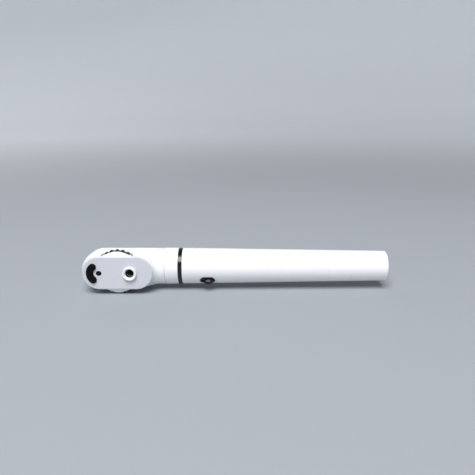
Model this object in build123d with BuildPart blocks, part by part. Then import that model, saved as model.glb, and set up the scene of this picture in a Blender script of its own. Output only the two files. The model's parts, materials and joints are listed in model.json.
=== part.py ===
from build123d import *
import os
from math import cos, pi, radians, sin

# Pocket ophthalmoscope: a battery handle with a screw-on optical head.
# The origin is the centre of the flat end of the handle. +X leaves the handle there, so
# the head lies towards -X. The examiner's face plate looks towards -Y, and Z runs across.

# Handle and trim ring, on the X axis
HANDLE_LENGTH = 121.7
HANDLE_ROOT_R = 10.75
HANDLE_TIP_R = 8.95
HANDLE_BORE_R = 7.5
END_WALL = 2.2
END_FLAT_R = 4.0
END_ROUNDING = 1.0
END_DOME = 0.35
RING_WIDTH = 2.3
RING_X = -(HANDLE_LENGTH + RING_WIDTH)

# Screw joint between the head and the handle
SLEEVE_R = 9.4
SLEEVE_DEPTH = 11.8
INSERT_R = 8.6
SCREW_FIT = 0.08
SEAM_GAP = 0.05
COLLAR_LENGTH = 7.8
COLLAR_X = RING_X - COLLAR_LENGTH

# Head: a round neck that grows into a flat-faced oval
HEAD_R = 10.9
WALL = 1.6
PLATE_FACE_Y = 14.6
PLATE_THICK = 1.4
PLATE_R = 9.85
PLATE_LENGTH = 40.6
PLATE_RIM = 0.7
PLATE_NEAR_X = RING_X - 14.0
PLATE_MID_X = PLATE_NEAR_X - PLATE_LENGTH / 2
SEAT_Y = PLATE_FACE_Y - PLATE_THICK
SPLIT_Y = 9.0
DRAFT = 4.0
NEAR_CENTRE_X = PLATE_NEAR_X - PLATE_R
FAR_CENTRE_X = PLATE_NEAR_X - PLATE_LENGTH + PLATE_R
FAIRING_SLOPE = 0.4
BACK_SLOPE_X = RING_X - 31.0
BACK_TIP_Y = 1.4
CAVITY_END_X = RING_X - 12.6

# Eyepiece, window and brow rest on the face plate
SIGHT_X = RING_X - 27.1
EYEPIECE_R = 4.0
EYEPIECE_PROUD = 1.6
SIGHT_R = 2.0
SIGHT_BORE_R = 2.35
FUNNEL_R = 3.0
FUNNEL_DEPTH = 0.9
SIGHT_TUBE_WALL = 0.45
SIGHT_TUBE_BACK_Y = 7.4
WINDOW_X = RING_X - 44.9
WINDOW_SIZE = (3.3, 3.0)
BROW_R = 4.9
BROW_BAND = 4.2
BROW_HALF_ANGLE = 51.0
BROW_CENTRE_X = RING_X - 45.15
BROW_PROUD = 1.3
BROW_SUNK = 0.4
BROW_ROUNDING = 0.8

# Lens wheel, on an axle parallel to Y
WHEEL_X = RING_X - 34.5
WHEEL_R = 13.2
WHEEL_LOBES = 24
SCALLOP = 0.7
WHEEL_THICK = 2.6
WHEEL_MID_Y = 10.6
LENS_CIRCLE = SIGHT_X - WHEEL_X
LENS_COUNT = 12
LENS_R = 1.45
AXLE_R = 1.5
AXLE_FIT = 0.05
GUARD_R = 12.3
GUARD_SLOPE = 2.6
GUARD_EDGE = 0.35
WHEEL_GAP = 0.35
DIAL_THICK = 0.15
DIAL_R = 11.6
DETENT_CIRCLE = 11.3
DETENT_BALL_R = 0.75
DETENT_SPRING_THICK = 0.2

# Aperture wheel, on an axle parallel to X
APERTURE_X = RING_X - 13.8
APERTURE_AXIS_Y = 4.8
APERTURE_WHEEL_R = 6.9
APERTURE_THICK = 1.2
APERTURE_AXLE_R = 0.9
APERTURE_NOTCHES = 30
SPOT_R = 1.5
FILTER_THICK = 0.4

# Illumination: lamp, lenses, mirror and the glass that faces the patient
SOCKET_R = 7.55
SOCKET_HEAD_X = RING_X - 10.5
SOCKET_TAIL_X = RING_X + 8.0
LAMP_R = 3.1
BULB_R = 2.3
CONDENSER_R = 3.4
HOLDER_R = 3.8
MIRROR_X = RING_X - 22.2
MIRROR_LENGTH = 5.4
MIRROR_THICK = 0.7
MIRROR_WIDTH = 6.0
PATIENT_X = RING_X - 24.5
PATIENT_R = 4.4
BEZEL_R = 5.35

# Battery stack: two AA cells
CELL_R = 7.25
CELL_LENGTH = 50.5
NUB_R = 2.65
NUB_LENGTH = 1.3
SPRING_LENGTH = 7.0
SPRING_WIRE_R = 0.4
CELL_END_X = -END_WALL - 0.5 - SPRING_LENGTH

# Sliding switch, set off to the side of the plate's direction
SWITCH_ANGLE = 38.0
SWITCH_X = RING_X + 17.2
SWITCH_LENGTH = 9.2
SWITCH_WIDTH = 6.0
KNOB_X = RING_X + 17.8
KNOB_LENGTH = 5.2
KNOB_WIDTH = 3.3
KNOB_TOP_R = 12.9
BEZEL_TOP_R = 10.85
SWITCH_FLOOR_R = 9.5
SLOT_WIDTH = 2.2

# Housing screws: one at the far end, two beside the mirror. Each place is x, z and how far
# in front of the axis its head is seated.
SCREW_R = 1.0
SCREW_HEAD_R = 1.9
SCREW_HEAD_THICK = 1.2
SCREW_COLUMN_R = 2.1
SCREW_DEPTH = 3.0
TIP_SCREW = (RING_X - 51.6, 0.0, -0.7)
SIDE_SCREW = (RING_X - 19.5, 7.8, -4.2)
OTHER_SIDE_SCREW = (RING_X - 19.5, -7.8, -4.2)
SCREW_PLACES = (TIP_SCREW, SIDE_SCREW, OTHER_SIDE_SCREW)

# Plate inside the head that carries the axle, the sight tube and the mirror
CHASSIS_THICK = 1.2
CHASSIS_BOSS = 1.2
WHEEL_BOSS_R = 3.2
SIGHT_BOSS_R = 2.9

WHEEL_AXIS = Axis((WHEEL_X, 0, 0), (0, 1, 0))
WHEEL_FRONT_Y = WHEEL_MID_Y + WHEEL_THICK / 2
WHEEL_BACK_Y = WHEEL_MID_Y - WHEEL_THICK / 2
POCKET_TOP_Y = WHEEL_FRONT_Y + WHEEL_GAP
POCKET_R = WHEEL_R + 0.4

os.makedirs("parts", exist_ok=True)


def save(builder, name):
    """Label a finished piece and write its STEP file."""
    builder.part.label = name
    export_step(builder.part, f"parts/{name}.step")


def across(x):
    """The plane across the handle at x: its normal is +X."""
    return Plane.YZ.offset(x)


def facing(y):
    """The plane parallel to the face plate, y in front of the axis: its normal is -Y."""
    return Plane.XZ.offset(y)


def switch_plane(radius):
    """The plane tangent to the handle at the switch, at a radius from the handle's axis."""
    outward = (0, -cos(radians(SWITCH_ANGLE)), -sin(radians(SWITCH_ANGLE)))
    origin = (0, outward[1] * radius, outward[2] * radius)
    return Plane(origin=origin, x_dir=(1, 0, 0), z_dir=outward)


def half_space(low_y, high_y):
    """A block that covers the whole head between two heights in front of the axis."""
    with BuildPart() as block:
        with BuildSketch(facing(low_y)):
            with Locations((PLATE_MID_X, 0)):
                Rectangle(3 * PLATE_LENGTH, 4 * HEAD_R)
        extrude(amount=high_y - low_y)
    return block.part


def fairing(radius, front, end_x):
    """The slope that leads from the plate's near end down to the neck."""
    top = radius - front * sin(radians(DRAFT))
    with BuildPart() as slope:
        with BuildSketch(Plane.XY):
            with BuildLine():
                Polyline(
                    (NEAR_CENTRE_X, -front),
                    (NEAR_CENTRE_X + top, -front),
                    (NEAR_CENTRE_X + top + front * FAIRING_SLOPE, 0),
                    (NEAR_CENTRE_X, 0),
                    close=True,
                )
            make_face()
        revolve(axis=Axis((NEAR_CENTRE_X, 0, 0), (0, 1, 0)))
        with BuildSketch(facing(0)):
            with Locations(((NEAR_CENTRE_X + end_x) / 2, 0)):
                Rectangle(end_x - NEAR_CENTRE_X + 6, 2 * radius)
        extrude(amount=front, taper=DRAFT, mode=Mode.INTERSECT)
        with BuildSketch(across(end_x)):
            Rectangle(4 * HEAD_R, 4 * HEAD_R)
        extrude(amount=4 * HEAD_R, mode=Mode.SUBTRACT)
    return slope.part


def head_form(inset, end_x):
    """The outside of the head moved inwards by inset, ending at end_x at the neck."""
    radius = HEAD_R - inset
    front = SEAT_Y - inset
    length = NEAR_CENTRE_X - FAR_CENTRE_X
    far_x = FAR_CENTRE_X - radius
    with BuildPart() as form:
        with BuildSketch(across(far_x)):
            Circle(radius)
        extrude(amount=end_x - far_x)
        with BuildSketch(facing(0)):
            with Locations((PLATE_MID_X, 0)):
                SlotCenterToCenter(length, 2 * radius)
        extrude(amount=front, taper=DRAFT)
        add(fairing(radius, front, end_x))
        # the rounded far end
        with BuildSketch(facing(-2 * HEAD_R)):
            with Locations(((FAR_CENTRE_X + end_x + HEAD_R) / 2, 0)):
                SlotCenterToCenter(end_x + HEAD_R - FAR_CENTRE_X, 2 * radius)
        extrude(amount=4 * HEAD_R, mode=Mode.INTERSECT)
        # the back slopes forward towards the far end
        with BuildSketch(Plane.XY.offset(-2 * HEAD_R)):
            with BuildLine():
                Polyline(
                    (BACK_SLOPE_X, radius),
                    (FAR_CENTRE_X - HEAD_R, BACK_TIP_Y - inset),
                    (FAR_CENTRE_X - 2 * HEAD_R, BACK_TIP_Y - inset),
                    (FAR_CENTRE_X - 2 * HEAD_R, 2 * HEAD_R),
                    (BACK_SLOPE_X, 2 * HEAD_R),
                    close=True,
                )
            make_face()
        extrude(amount=4 * HEAD_R, mode=Mode.SUBTRACT)
    return form.part


outer_form = head_form(0, COLLAR_X)
inner_form = head_form(WALL, CAVITY_END_X)
chassis_form = head_form(WALL + SEAM_GAP, CAVITY_END_X - 0.3)

# ---------------------------------------------------------------- head casings

with BuildPart() as front_housing:
    add(outer_form)
    add(half_space(SPLIT_Y, 2 * PLATE_FACE_Y), mode=Mode.INTERSECT)
    # the guard that follows the wheel's rim on the plate side
    with BuildSketch(Plane.XY):
        with BuildLine():
            Polyline(
                (WHEEL_X, -SEAT_Y),
                (WHEEL_X + GUARD_R - GUARD_SLOPE, -SEAT_Y),
                (WHEEL_X + GUARD_R, -POCKET_TOP_Y - GUARD_EDGE),
                (WHEEL_X + GUARD_R, -POCKET_TOP_Y),
                (WHEEL_X, -POCKET_TOP_Y),
                close=True,
            )
        make_face()
    revolve(axis=WHEEL_AXIS)
    with BuildSketch(facing(SPLIT_Y)):
        with Locations((WHEEL_X, 0)):
            Circle(POCKET_R)
    extrude(amount=POCKET_TOP_Y - SPLIT_Y, mode=Mode.SUBTRACT)
    with BuildSketch(facing(SPLIT_Y)):
        with Locations((SIGHT_X, 0)):
            Circle(SIGHT_BORE_R)
        with Locations((WINDOW_X, 0)):
            SlotOverall(WINDOW_SIZE[0], WINDOW_SIZE[1])
        with Locations((WHEEL_X, 0)):
            Circle(AXLE_R)
    extrude(amount=SEAT_Y - SPLIT_Y + 1, mode=Mode.SUBTRACT)
    with BuildSketch(facing(SPLIT_Y)):
        with Locations([(x, z) for x, z, y in SCREW_PLACES]):
            Circle(SCREW_R)
    extrude(amount=SCREW_DEPTH, mode=Mode.SUBTRACT)
save(front_housing, "front_housing")

with BuildPart() as rear_housing:
    add(outer_form)
    add(half_space(-2 * HEAD_R, SPLIT_Y), mode=Mode.INTERSECT)
    back_edges = rear_housing.edges().filter_by_position(Axis.Y, -3, HEAD_R + 1)
    fillet(back_edges.filter_by_position(Axis.X, FAR_CENTRE_X - HEAD_R, BACK_SLOPE_X + 1), 1.2)
    add(inner_form, mode=Mode.SUBTRACT)
    with BuildSketch(facing(-HEAD_R)):
        with Locations([(x, z) for x, z, y in SCREW_PLACES]):
            Circle(SCREW_COLUMN_R)
    extrude(amount=HEAD_R + SPLIT_Y)
    add(outer_form, mode=Mode.INTERSECT)
    for x, z, head_y in SCREW_PLACES:
        with BuildSketch(facing(-2 * HEAD_R)):
            with Locations((x, z)):
                Circle(SCREW_R)
        extrude(amount=2 * HEAD_R + SPLIT_Y, mode=Mode.SUBTRACT)
        with BuildSketch(facing(-2 * HEAD_R)):
            with Locations((x, z)):
                Circle(SCREW_HEAD_R)
        extrude(amount=2 * HEAD_R + head_y, mode=Mode.SUBTRACT)
    # bores for the screwed neck, the aperture wheel and the patient's glass
    with BuildSketch(across(COLLAR_X)):
        Circle(INSERT_R)
    extrude(amount=CAVITY_END_X - COLLAR_X, mode=Mode.SUBTRACT)
    with BuildSketch(across(APERTURE_X - APERTURE_THICK / 2 - 0.25)):
        with Locations((APERTURE_AXIS_Y, 0)):
            Circle(APERTURE_WHEEL_R + 0.35)
    extrude(amount=APERTURE_THICK + 0.5, mode=Mode.SUBTRACT)
    with BuildSketch(facing(-2 * HEAD_R)):
        with Locations((PATIENT_X, 0)):
            Circle(BEZEL_R)
    extrude(amount=HEAD_R + 4.0, mode=Mode.SUBTRACT)
save(rear_housing, "rear_housing")

with BuildPart() as face_plate:
    with BuildSketch(facing(SEAT_Y)):
        with Locations((PLATE_MID_X, 0)):
            SlotOverall(PLATE_LENGTH, 2 * PLATE_R)
    extrude(amount=PLATE_THICK)
    chamfer(face_plate.faces().sort_by(Axis.Y)[0].edges(), PLATE_RIM, angle=30)
    with BuildSketch(facing(SEAT_Y)):
        with Locations((SIGHT_X, 0)):
            Circle(EYEPIECE_R - 0.7)
        with Locations((WINDOW_X, 0)):
            SlotOverall(WINDOW_SIZE[0], WINDOW_SIZE[1])
    extrude(amount=PLATE_THICK, mode=Mode.SUBTRACT)
    with BuildSketch(facing(PLATE_FACE_Y - BROW_SUNK)):
        with Locations((BROW_CENTRE_X, 0)):
            SlotArc(CenterArc((0, 0), BROW_R, 180 - BROW_HALF_ANGLE, 2 * BROW_HALF_ANGLE), BROW_BAND)
    extrude(amount=BROW_SUNK, mode=Mode.SUBTRACT)
save(face_plate, "face_plate")

with BuildPart() as brow_rest:
    with BuildSketch(facing(PLATE_FACE_Y - BROW_SUNK)):
        with Locations((BROW_CENTRE_X, 0)):
            SlotArc(CenterArc((0, 0), BROW_R, 180 - BROW_HALF_ANGLE, 2 * BROW_HALF_ANGLE), BROW_BAND)
    extrude(amount=BROW_SUNK + BROW_PROUD)
    fillet(brow_rest.faces().sort_by(Axis.Y)[0].edges(), BROW_ROUNDING)
save(brow_rest, "brow_rest")

with BuildPart() as display_window:
    with BuildSketch(facing(SEAT_Y)):
        with Locations((WINDOW_X, 0)):
            SlotOverall(WINDOW_SIZE[0], WINDOW_SIZE[1])
    extrude(amount=PLATE_THICK - 0.15)
save(display_window, "display_window")

with BuildPart() as eyepiece_ring:
    with BuildSketch(Plane.XY):
        with BuildLine():
            Polyline(
                (SIGHT_X + SIGHT_BORE_R, -SEAT_Y),
                (SIGHT_X + EYEPIECE_R - 0.7, -SEAT_Y),
                (SIGHT_X + EYEPIECE_R - 0.7, -PLATE_FACE_Y),
                (SIGHT_X + EYEPIECE_R, -PLATE_FACE_Y),
                (SIGHT_X + EYEPIECE_R, -PLATE_FACE_Y - EYEPIECE_PROUD),
                (SIGHT_X + FUNNEL_R, -PLATE_FACE_Y - EYEPIECE_PROUD),
                (SIGHT_X + FUNNEL_R - 0.3, -PLATE_FACE_Y - EYEPIECE_PROUD + FUNNEL_DEPTH),
                (SIGHT_X + SIGHT_BORE_R, -PLATE_FACE_Y - EYEPIECE_PROUD + FUNNEL_DEPTH + 0.2),
                close=True,
            )
        make_face()
    revolve(axis=Axis((SIGHT_X, 0, 0), (0, 1, 0)))
    fillet(eyepiece_ring.edges().group_by(Axis.Y)[0], 0.3)
save(eyepiece_ring, "eyepiece_ring")

with BuildPart() as housing_screws:
    for x, z, head_y in SCREW_PLACES:
        with BuildSketch(facing(head_y)):
            with Locations((x, z)):
                Circle(SCREW_R - 0.02)
        extrude(amount=SPLIT_Y + SCREW_DEPTH - 0.2 - head_y)
        with BuildSketch(facing(head_y - SCREW_HEAD_THICK)):
            with Locations((x, z)):
                Circle(SCREW_HEAD_R - 0.1)
        extrude(amount=SCREW_HEAD_THICK)
        with BuildSketch(facing(head_y - SCREW_HEAD_THICK)):
            with Locations((x, z)):
                Rectangle(2 * SCREW_HEAD_R - 0.8, 0.5)
                Rectangle(0.5, 2 * SCREW_HEAD_R - 0.8)
        extrude(amount=0.6, mode=Mode.SUBTRACT)
save(housing_screws, "housing_screws")

# ---------------------------------------------------------------- optics inside the head

with BuildPart() as optics_chassis:
    add(chassis_form)
    add(half_space(SPLIT_Y - CHASSIS_THICK, SPLIT_Y), mode=Mode.INTERSECT)
    with BuildSketch(facing(SPLIT_Y - CHASSIS_THICK - CHASSIS_BOSS)):
        with Locations((WHEEL_X, 0)):
            Circle(WHEEL_BOSS_R)
        with Locations((SIGHT_X, 0)):
            Circle(SIGHT_BOSS_R)
    extrude(amount=CHASSIS_BOSS + 0.1)
    with BuildSketch(facing(SPLIT_Y - 3)):
        with Locations((WHEEL_X, 0)):
            Circle(AXLE_R)
        with Locations((SIGHT_X, 0)):
            Circle(SIGHT_R + SIGHT_TUBE_WALL)
        with Locations((WHEEL_X - DETENT_CIRCLE, 0)):
            Circle(DETENT_BALL_R + AXLE_FIT)
        with Locations([(x, z) for x, z, y in SCREW_PLACES]):
            Circle(SCREW_COLUMN_R + 0.05)
    extrude(amount=4, mode=Mode.SUBTRACT)
save(optics_chassis, "optics_chassis")

with BuildPart() as wheel_axle:
    with BuildSketch(facing(SPLIT_Y - 2.2)):
        with Locations((WHEEL_X, 0)):
            Circle(AXLE_R)
    extrude(amount=SEAT_Y - 0.1 - SPLIT_Y + 2.2)
    with BuildSketch(facing(SPLIT_Y - 2.2)):
        with Locations((WHEEL_X, 0)):
            Circle(0.5)
    extrude(amount=1.0, mode=Mode.SUBTRACT)
save(wheel_axle, "wheel_axle")

with BuildPart() as sight_tube:
    with BuildSketch(facing(-SIGHT_TUBE_BACK_Y)):
        with Locations((SIGHT_X, 0)):
            Circle(SIGHT_R + SIGHT_TUBE_WALL)
            Circle(SIGHT_R, mode=Mode.SUBTRACT)
    extrude(amount=SIGHT_TUBE_BACK_Y + SPLIT_Y)
save(sight_tube, "sight_tube")

with BuildPart() as detent_ball:
    with Locations((WHEEL_X - DETENT_CIRCLE, -(SPLIT_Y - DETENT_BALL_R + 0.1), 0)):
        Sphere(DETENT_BALL_R)
save(detent_ball, "detent_ball")

with BuildPart() as detent_spring:
    with BuildSketch(facing(SPLIT_Y - 1.6)):
        with Locations((WHEEL_X - 9.0, 0)):
            SlotOverall(8.0, 2.2)
    extrude(amount=DETENT_SPRING_THICK)
    with BuildSketch(facing(SPLIT_Y - 1.6)):
        with Locations((WHEEL_X - 6.3, 0)):
            Circle(0.9)
    extrude(amount=2 * DETENT_SPRING_THICK)
save(detent_spring, "detent_spring")

# The mirror's face turns the beam from -X to +Y. The carrier stands on the chassis.
mirror_half = MIRROR_LENGTH / 2 / 2**0.5
with BuildPart() as mirror:
    mirror_plane = Plane(origin=(MIRROR_X, 0, 0), x_dir=(0, 0, 1), z_dir=(1, 1, 0))
    with BuildSketch(mirror_plane):
        Rectangle(MIRROR_WIDTH, MIRROR_LENGTH)
    extrude(amount=-MIRROR_THICK)
save(mirror, "mirror")

with BuildPart() as mirror_carrier:
    back = MIRROR_THICK * 2**0.5
    foot_y = SPLIT_Y - CHASSIS_THICK
    with BuildSketch(Plane.XY):
        with BuildLine():
            Polyline(
                (MIRROR_X - mirror_half, mirror_half - back),
                (MIRROR_X + mirror_half, -mirror_half - back),
                (MIRROR_X + mirror_half, -foot_y),
                (MIRROR_X - mirror_half, -foot_y),
                close=True,
            )
        make_face()
    extrude(amount=MIRROR_WIDTH / 2, both=True)
save(mirror_carrier, "mirror_carrier")

holder_near_x = APERTURE_X - APERTURE_THICK / 2 - 0.5
holder_far_x = MIRROR_X + mirror_half + 1.0
with BuildPart() as projection_holder:
    with BuildSketch(across(holder_far_x)):
        Circle(HOLDER_R)
    extrude(amount=holder_near_x - holder_far_x)
    with BuildSketch(facing(2.0)):
        with Locations(((holder_near_x + holder_far_x) / 2, 0)):
            Rectangle(holder_near_x - holder_far_x, 3.0)
    extrude(amount=SPLIT_Y - CHASSIS_THICK - 2.0)
    with BuildSketch(across(holder_far_x)):
        Circle(HOLDER_R - 1.3)
    extrude(amount=holder_near_x - holder_far_x, mode=Mode.SUBTRACT)
    with BuildSketch(across(holder_near_x - 1.8)):
        Circle(HOLDER_R - 0.8)
    extrude(amount=1.8, mode=Mode.SUBTRACT)
save(projection_holder, "projection_holder")


def lens(x, radius, edge, bulge):
    """A plano-convex lens across the beam: its flat side is at x and it bulges to -X."""
    with BuildPart() as glass:
        with BuildSketch(Plane.XZ):
            with BuildLine():
                outline = Polyline((x - edge - bulge, 0), (x, 0), (x, radius), (x - edge, radius))
                sphere_r = (radius**2 + bulge**2) / (2 * bulge)
                RadiusArc(outline @ 1, outline @ 0, -sphere_r)
            make_face()
        revolve(axis=Axis.X)
    return glass


projection_lens = lens(holder_near_x - 0.4, HOLDER_R - 0.8, 0.8, 0.5)
save(projection_lens, "projection_lens")

condenser_lens = lens(SOCKET_HEAD_X + 1.8, CONDENSER_R, 0.9, 0.7)
save(condenser_lens, "condenser_lens")

with BuildPart() as patient_window:
    with BuildSketch(facing(-9.3)):
        with Locations((PATIENT_X, 0)):
            Circle(PATIENT_R)
    extrude(amount=0.9)
save(patient_window, "patient_window")

with BuildPart() as patient_bezel:
    with BuildSketch(facing(-9.9)):
        with Locations((PATIENT_X, 0)):
            Circle(BEZEL_R)
            Circle(PATIENT_R, mode=Mode.SUBTRACT)
    extrude(amount=2.4)
    with BuildSketch(facing(-8.4)):
        with Locations((PATIENT_X, 0)):
            Circle(PATIENT_R)
            Circle(PATIENT_R - 0.5, mode=Mode.SUBTRACT)
    extrude(amount=0.9)
    chamfer(patient_bezel.edges().group_by(Axis.Y)[-1], 0.25)
save(patient_bezel, "patient_bezel")

# ---------------------------------------------------------------- neck and lamp

with BuildPart() as neck_collar:
    with BuildSketch(across(COLLAR_X + SEAM_GAP)):
        Circle(HEAD_R - 0.05)
        Circle(INSERT_R, mode=Mode.SUBTRACT)
    extrude(amount=COLLAR_LENGTH - 2 * SEAM_GAP)
    chamfer(neck_collar.edges().group_by(Axis.X)[0].sort_by(SortBy.RADIUS)[-1], 0.15)
save(neck_collar, "neck_collar")

with BuildPart() as neck_insert:
    with BuildSketch(across(CAVITY_END_X + 0.8)):
        Circle(INSERT_R)
        Circle(SOCKET_R, mode=Mode.SUBTRACT)
    extrude(amount=RING_X + 10.0 - CAVITY_END_X - 0.8)
    chamfer(neck_insert.edges().group_by(Axis.X)[-1].sort_by(SortBy.RADIUS)[-1], 0.4)
save(neck_insert, "neck_insert")

with BuildPart() as lamp_socket:
    with BuildSketch(across(SOCKET_HEAD_X)):
        Circle(SOCKET_R)
    extrude(amount=SOCKET_TAIL_X - SOCKET_HEAD_X)
    with BuildSketch(across(SOCKET_HEAD_X)):
        Circle(CONDENSER_R)
    extrude(amount=1.8, mode=Mode.SUBTRACT)
    with BuildSketch(across(SOCKET_HEAD_X)):
        Circle(LAMP_R)
    extrude(amount=SOCKET_TAIL_X - SOCKET_HEAD_X - 2.5, mode=Mode.SUBTRACT)
    with BuildSketch(across(SOCKET_HEAD_X)):
        Circle(1.7)
        with Locations((APERTURE_AXIS_Y, 0)):
            Circle(APERTURE_AXLE_R)
    extrude(amount=1.0, mode=Mode.SUBTRACT)
    with BuildSketch(across(SOCKET_TAIL_X - 3)):
        Circle(1.7)
    extrude(amount=3, mode=Mode.SUBTRACT)
save(lamp_socket, "lamp_socket")

lamp_tail_x = SOCKET_TAIL_X - 2.5 - 3.0
with BuildPart() as lamp_base:
    with BuildSketch(across(RING_X - 3.5)):
        Circle(LAMP_R - 0.02)
    extrude(amount=lamp_tail_x - RING_X + 3.5)
    with BuildSketch(across(RING_X - 3.5)):
        Circle(BULB_R)
    extrude(amount=1.5, mode=Mode.SUBTRACT)
save(lamp_base, "lamp_base")

with BuildPart() as lamp_bulb:
    with BuildSketch(across(RING_X - 5.4)):
        Circle(BULB_R)
    extrude(amount=3.4)
    with Locations((RING_X - 5.4, 0, 0)):
        Sphere(BULB_R)
save(lamp_bulb, "lamp_bulb")

nub_x = CELL_END_X - 2 * CELL_LENGTH
with BuildPart() as contact_pin:
    with BuildSketch(across(SOCKET_TAIL_X - 0.6)):
        Circle(1.6)
    extrude(amount=nub_x - 0.1 - SOCKET_TAIL_X + 0.6)
    with BuildSketch(across(SOCKET_TAIL_X + 0.1)):
        Circle(2.6)
    extrude(amount=0.8)
    fillet(contact_pin.edges().group_by(Axis.X)[-1], 0.5)
save(contact_pin, "contact_pin")

with BuildPart() as contact_spring:
    with BuildLine() as coil:
        Helix(pitch=1.0, height=4.0, radius=1.2, center=(0, 0, 0), direction=(0, 0, 1))
    with BuildSketch(Plane(origin=coil.line @ 0, z_dir=coil.line % 0)):
        Circle(0.2)
    sweep(is_frenet=True)
contact_spring.part = Plane(origin=(lamp_tail_x + 0.3, 0, 0), z_dir=(1, 0, 0)).from_local_coords(
    contact_spring.part
)
save(contact_spring, "contact_spring")

# ---------------------------------------------------------------- lens wheel

with BuildPart() as lens_wheel:
    with BuildSketch(facing(WHEEL_BACK_Y)):
        with Locations((WHEEL_X, 0)):
            Circle(WHEEL_R)
            scoop = WHEEL_R * sin(pi / WHEEL_LOBES) * 0.62
            with PolarLocations(WHEEL_R + scoop - SCALLOP, WHEEL_LOBES, start_angle=180 / WHEEL_LOBES):
                Circle(scoop, mode=Mode.SUBTRACT)
            with PolarLocations(LENS_CIRCLE, LENS_COUNT):
                Circle(LENS_R, mode=Mode.SUBTRACT)
            Circle(AXLE_R + AXLE_FIT, mode=Mode.SUBTRACT)
    extrude(amount=WHEEL_THICK)
save(lens_wheel, "lens_wheel")

with BuildPart() as correction_lenses:
    with BuildSketch(facing(WHEEL_MID_Y - 0.6)):
        with Locations((WHEEL_X, 0)):
            lens_step = 360 / LENS_COUNT
            with PolarLocations(LENS_CIRCLE, LENS_COUNT - 1, lens_step, 360 - 2 * lens_step, endpoint=True):
                Circle(LENS_R - 0.01)
    extrude(amount=1.2)
save(correction_lenses, "correction_lenses")

with BuildPart() as dioptre_dial:
    with BuildSketch(facing(WHEEL_FRONT_Y)):
        with Locations((WHEEL_X, 0)):
            Circle(DIAL_R)
            Circle(LENS_CIRCLE + LENS_R + 0.2, mode=Mode.SUBTRACT)
    extrude(amount=DIAL_THICK)
save(dioptre_dial, "dioptre_dial")

# ---------------------------------------------------------------- aperture wheel

with BuildPart() as aperture_wheel:
    with BuildSketch(across(APERTURE_X - APERTURE_THICK / 2)):
        with Locations((APERTURE_AXIS_Y, 0)):
            Circle(APERTURE_WHEEL_R)
            with PolarLocations(APERTURE_WHEEL_R + 0.35, APERTURE_NOTCHES):
                Circle(0.6, mode=Mode.SUBTRACT)
            Circle(APERTURE_AXLE_R + AXLE_FIT, mode=Mode.SUBTRACT)
            with PolarLocations(APERTURE_AXIS_Y, 3, start_angle=180):
                Circle(SPOT_R, mode=Mode.SUBTRACT)
            with PolarLocations(APERTURE_AXIS_Y, 1, start_angle=240):
                Circle(0.8, mode=Mode.SUBTRACT)
            with PolarLocations(APERTURE_AXIS_Y, 1, start_angle=0):
                Rectangle(0.5, 2.8, mode=Mode.SUBTRACT)
    extrude(amount=APERTURE_THICK)
save(aperture_wheel, "aperture_wheel")

with BuildPart() as red_free_filter:
    with BuildSketch(across(APERTURE_X - FILTER_THICK / 2)):
        with Locations((APERTURE_AXIS_Y, 0)):
            with PolarLocations(APERTURE_AXIS_Y, 1, start_angle=300):
                Circle(SPOT_R - 0.01)
    extrude(amount=FILTER_THICK)
save(red_free_filter, "red_free_filter")

with BuildPart() as aperture_axle:
    cap_x = APERTURE_X - APERTURE_THICK / 2 - 0.45
    with BuildSketch(across(cap_x)):
        with Locations((APERTURE_AXIS_Y, 0)):
            Circle(APERTURE_AXLE_R + 0.5)
    extrude(amount=0.35)
    with BuildSketch(across(cap_x)):
        with Locations((APERTURE_AXIS_Y, 0)):
            Circle(APERTURE_AXLE_R)
    extrude(amount=SOCKET_HEAD_X + 0.9 - cap_x)
save(aperture_axle, "aperture_axle")

# ---------------------------------------------------------------- handle

edge_x = -END_DOME - END_ROUNDING
shoulder_r = HANDLE_TIP_R - END_ROUNDING
diagonal = sin(pi / 4)
with BuildPart() as handle_tube:
    with BuildSketch(Plane.XZ):
        with BuildLine():
            Polyline(
                (-END_WALL, 0),
                (-END_WALL, HANDLE_BORE_R),
                (RING_X + SLEEVE_DEPTH, HANDLE_BORE_R),
                (RING_X + SLEEVE_DEPTH, SLEEVE_R),
                (RING_X + RING_WIDTH, SLEEVE_R),
                (RING_X + RING_WIDTH, HANDLE_ROOT_R),
                (edge_x, HANDLE_TIP_R),
            )
            corner = (-END_DOME - END_ROUNDING * (1 - diagonal), shoulder_r + END_ROUNDING * diagonal)
            ThreePointArc((edge_x, HANDLE_TIP_R), corner, (-END_DOME, shoulder_r))
            dome = (-END_DOME / 4, (shoulder_r + END_FLAT_R) / 2)
            ThreePointArc((-END_DOME, shoulder_r), dome, (0, END_FLAT_R))
            Polyline((0, END_FLAT_R), (0, 0), (-END_WALL, 0))
        make_face()
    revolve(axis=Axis.X)
    # recess for the switch's base, and the slot that its stem and contact reach through
    with BuildSketch(switch_plane(SWITCH_FLOOR_R)):
        with Locations((SWITCH_X, 0)):
            SlotOverall(SWITCH_LENGTH, SWITCH_WIDTH)
    extrude(amount=4, mode=Mode.SUBTRACT)
    with BuildSketch(switch_plane(6.5)):
        with Locations((SWITCH_X, 0)):
            SlotOverall(SWITCH_LENGTH - 1.4, 3.4)
    extrude(amount=4, mode=Mode.SUBTRACT)
    # groove for the contact strip, from the sleeve to the switch
    with BuildSketch(switch_plane(7.0)):
        with Locations((RING_X + SLEEVE_DEPTH + 1.0, 0)):
            Rectangle(4.0, 2.6)
    extrude(amount=1.2, mode=Mode.SUBTRACT)
save(handle_tube, "handle_tube")

with BuildPart() as trim_ring:
    with BuildSketch(across(RING_X)):
        Circle(HANDLE_ROOT_R)
        Circle(SLEEVE_R, mode=Mode.SUBTRACT)
    extrude(amount=RING_WIDTH)
    chamfer(trim_ring.edges().group_by(Axis.X)[0].sort_by(SortBy.RADIUS)[-1], 0.2)
save(trim_ring, "trim_ring")

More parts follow.
